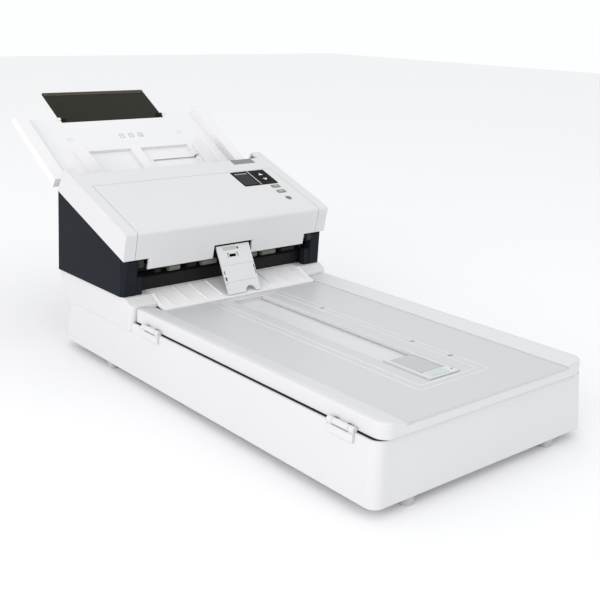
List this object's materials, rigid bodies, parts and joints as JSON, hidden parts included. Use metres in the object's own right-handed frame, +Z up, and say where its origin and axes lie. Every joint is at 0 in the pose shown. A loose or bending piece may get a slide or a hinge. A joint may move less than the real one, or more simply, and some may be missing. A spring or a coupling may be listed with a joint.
{
  "type": "document scanner",
  "caption": "Sheet fed document scanner on a flatbed base: sloping input tray with guides and extension, hinged feeder cover, exit flap, and a flatbed lid that catches the sheets.",
  "frame": {"origin": "on the floor, under the middle of the whole outline with the tray open", "axes": "+X to the right seen from the front, +Y towards the input tray at the back, +Z up"},
  "size_m": [0.345, 0.8025, 0.3307],
  "materials": {
    "white_plastic": "fine moulded grain",
    "bed_plastic": "fine grain, light grey",
    "dark_plastic": "satin, very dark blue-grey",
    "black_plastic": "satin black",
    "olive_plastic": "satin, olive black",
    "foot_rubber": "matt",
    "roller_rubber": "matt",
    "glass": "clear",
    "steel": "ground",
    "foam_white": "soft foam with film",
    "belt_rubber": "matt",
    "motor_metal": "satin",
    "board_green": "solder mask",
    "brass_bush": "sintered",
    "screen": "glossy",
    "button_grey": "satin",
    "power_lens": "satin translucent",
    "screw_steel": "zinc plated",
    "stopper_clear": "frosted, pale blue"
  },
  "bodies": {
    "base": {"base_housing": "white_plastic", "flatbed_frame": "white_plastic", "platen_glass": "glass", "base_feet": "foot_rubber", "guide_rod": "steel", "flatbed_belt": "belt_rubber", "flatbed_motor": "motor_metal", "main_board": "board_green", "rear_sockets": "black_plastic", "neck_cover": "white_plastic", "exit_ramp": "white_plastic", "lid_hinge_brackets": "white_plastic", "side_panel_left": "dark_plastic", "side_panel_right": "dark_plastic", "rear_panel": "dark_plastic", "cover_hinge_pins": "steel", "lower_paper_guide": "dark_plastic", "lower_scan_module": "black_plastic", "roller_bushes": "brass_bush", "feeder_motor": "motor_metal", "drive_belts": "belt_rubber", "exit_beam": "dark_plastic", "base_screws": "screw_steel"},
    "lid": {"lid_shell": "white_plastic", "lid_bed": "bed_plastic", "lid_pad": "foam_white", "lid_hinge_arms": "white_plastic"},
    "stopper": {"stopper_slider": "white_plastic"},
    "stopper_flap": {"stopper_plate": "stopper_clear"},
    "carriage": {"scan_carriage": "black_plastic", "flatbed_scan_module": "black_plastic"},
    "drive_wheel": {"drive_pulley": "black_plastic"},
    "idler_wheel": {"idler_pulley": "black_plastic"},
    "feed_roller": {"feed_shaft": "steel", "feed_tyres": "roller_rubber"},
    "transport_roller": {"transport_roller": "roller_rubber"},
    "exit_roller": {"exit_roller": "roller_rubber"},
    "motor_wheel": {"motor_wheel": "black_plastic"},
    "exit_idlers": {"exit_idlers": "roller_rubber"},
    "cover": {"cover_frame": "white_plastic", "cover_insert": "white_plastic", "control_bezel": "black_plastic", "display": "screen", "upper_paper_guide": "dark_plastic", "upper_scan_module": "black_plastic"},
    "separation_roller": {"separation_roller": "roller_rubber"},
    "pinch_roller": {"pinch_roller": "roller_rubber"},
    "release_lever": {"release_lever": "button_grey"},
    "up_key": {"up_key": "black_plastic"},
    "down_key": {"down_key": "black_plastic"},
    "scan_button": {"scan_button": "button_grey"},
    "mode_button": {"mode_button": "button_grey"},
    "power_button": {"power_button": "power_lens"},
    "tray": {"input_tray": "white_plastic", "tray_under_cover": "white_plastic"},
    "tray_extension": {"tray_extension": "olive_plastic"},
    "guide_left": {"paper_guide_left": "white_plastic"},
    "guide_right": {"paper_guide_right": "white_plastic"},
    "pinion": {"guide_pinion": "black_plastic"},
    "exit_flap": {"exit_flap": "white_plastic"}
  },
  "joints": [
    {"name": "lid_hinge", "type": "hinge", "parent": "base", "child": "lid", "pos_m": [-0.1672, 0, 0.0796], "axis": [0, 1, 0], "range_deg": [-80, 0]},
    {"name": "stopper_slide", "type": "slide", "parent": "lid", "child": "stopper", "axis": [0, 1, 0], "range_m": [0, 0.261]},
    {"name": "stopper_fold", "type": "hinge", "parent": "stopper", "child": "stopper_flap", "pos_m": [-0.002, -0.31833, 0.0891], "axis": [1, 0, 0], "range_deg": [0, 90]},
    {"name": "carriage_slide", "type": "slide", "parent": "base", "child": "carriage", "axis": [0, -1, 0], "range_m": [0, 0.33]},
    {"name": "drive_pulley_spin", "type": "hinge", "parent": "base", "child": "drive_wheel", "pos_m": [0.03, 0.00467, 0.05], "axis": [0, 0, 1], "continuous": true},
    {"name": "idler_pulley_spin", "type": "hinge", "parent": "base", "child": "idler_wheel", "pos_m": [0.03, -0.37933, 0.05], "axis": [0, 0, 1], "continuous": true},
    {"name": "feed_spin", "type": "hinge", "parent": "base", "child": "feed_roller", "pos_m": [0, 0.17985, 0.18469], "axis": [1, 0, 0], "continuous": true},
    {"name": "transport_spin", "type": "hinge", "parent": "base", "child": "transport_roller", "pos_m": [0, 0.13544, 0.16151], "axis": [1, 0, 0], "continuous": true},
    {"name": "exit_spin", "type": "hinge", "parent": "base", "child": "exit_roller", "pos_m": [0, 0.07321, 0.12528], "axis": [1, 0, 0], "continuous": true},
    {"name": "motor_spin", "type": "hinge", "parent": "base", "child": "motor_wheel", "pos_m": [0, 0.17388, 0.13443], "axis": [1, 0, 0], "continuous": true},
    {"name": "exit_idler_spin", "type": "hinge", "parent": "base", "child": "exit_idlers", "pos_m": [0, 0.06636, 0.13668], "axis": [1, 0, 0], "continuous": true},
    {"name": "cover_hinge", "type": "hinge", "parent": "base", "child": "cover", "pos_m": [0, 0.04167, 0.147], "axis": [1, 0, 0], "range_deg": [0, 55]},
    {"name": "separation_spin", "type": "hinge", "parent": "cover", "child": "separation_roller", "pos_m": [0, 0.16888, 0.20294], "axis": [1, 0, 0], "continuous": true},
    {"name": "pinch_spin", "type": "hinge", "parent": "cover", "child": "pinch_roller", "pos_m": [0, 0.12756, 0.17462], "axis": [1, 0, 0], "continuous": true},
    {"name": "release_lever_pull", "type": "hinge", "parent": "cover", "child": "release_lever", "pos_m": [0.121, 0.15967, 0.23269], "axis": [1, 0, 0], "range_deg": [-8, 0], "stiffness_Nm_per_rad": 0.05, "springref_deg": 11.46},
    {"name": "up_key_press", "type": "slide", "parent": "cover", "child": "up_key", "axis": [0, 0.3535, -0.9354], "range_m": [0, 0.0006], "stiffness_N_per_m": 900},
    {"name": "down_key_press", "type": "slide", "parent": "cover", "child": "down_key", "axis": [0, 0.3535, -0.9354], "range_m": [0, 0.0006], "stiffness_N_per_m": 900},
    {"name": "scan_button_press", "type": "slide", "parent": "cover", "child": "scan_button", "axis": [0, 0.3535, -0.9354], "range_m": [0, 0.0006], "stiffness_N_per_m": 900},
    {"name": "mode_button_press", "type": "slide", "parent": "cover", "child": "mode_button", "axis": [0, 0.3535, -0.9354], "range_m": [0, 0.0006], "stiffness_N_per_m": 900},
    {"name": "power_button_press", "type": "slide", "parent": "cover", "child": "power_button", "axis": [0, 0.3535, -0.9354], "range_m": [0, 0.0006], "stiffness_N_per_m": 900},
    {"name": "tray_tilt", "type": "hinge", "parent": "base", "child": "tray", "pos_m": [0, 0.21293, 0.20923], "axis": [1, 0, 0], "range_deg": [0, 20]},
    {"name": "extension_fold", "type": "hinge", "parent": "tray", "child": "tray_extension", "pos_m": [0, 0.34124, 0.29566], "axis": [1, 0, 0], "range_deg": [0, 172]},
    {"name": "guide_left_slide", "type": "slide", "parent": "tray", "child": "guide_left", "axis": [1, 0, 0], "range_m": [-0.0035, 0.0795]},
    {"name": "guide_right_slide", "type": "slide", "parent": "tray", "child": "guide_right", "axis": [-1, 0, 0], "range_m": [-0.0035, 0.0795]},
    {"name": "pinion_spin", "type": "hinge", "parent": "tray", "child": "pinion", "pos_m": [0, 0.24482, 0.22606], "axis": [0, -0.515, 0.8572], "continuous": true},
    {"name": "exit_flap_lift", "type": "hinge", "parent": "base", "child": "exit_flap", "pos_m": [0.004, 0.04167, 0.147], "axis": [1, 0, 0], "range_deg": [-55, 0]}
  ],
  "couplings": [
    {"joint": "drive_pulley_spin", "follows": "carriage_slide", "rad_per_m": -166.67},
    {"joint": "idler_pulley_spin", "follows": "carriage_slide", "rad_per_m": -166.67},
    {"joint": "transport_spin", "follows": "feed_spin", "ratio": 1},
    {"joint": "exit_spin", "follows": "feed_spin", "ratio": 1},
    {"joint": "motor_spin", "follows": "feed_spin", "ratio": 1},
    {"joint": "guide_right_slide", "follows": "guide_left_slide", "ratio": 1},
    {"joint": "pinion_spin", "follows": "guide_left_slide", "rad_per_m": 100}
  ]
}
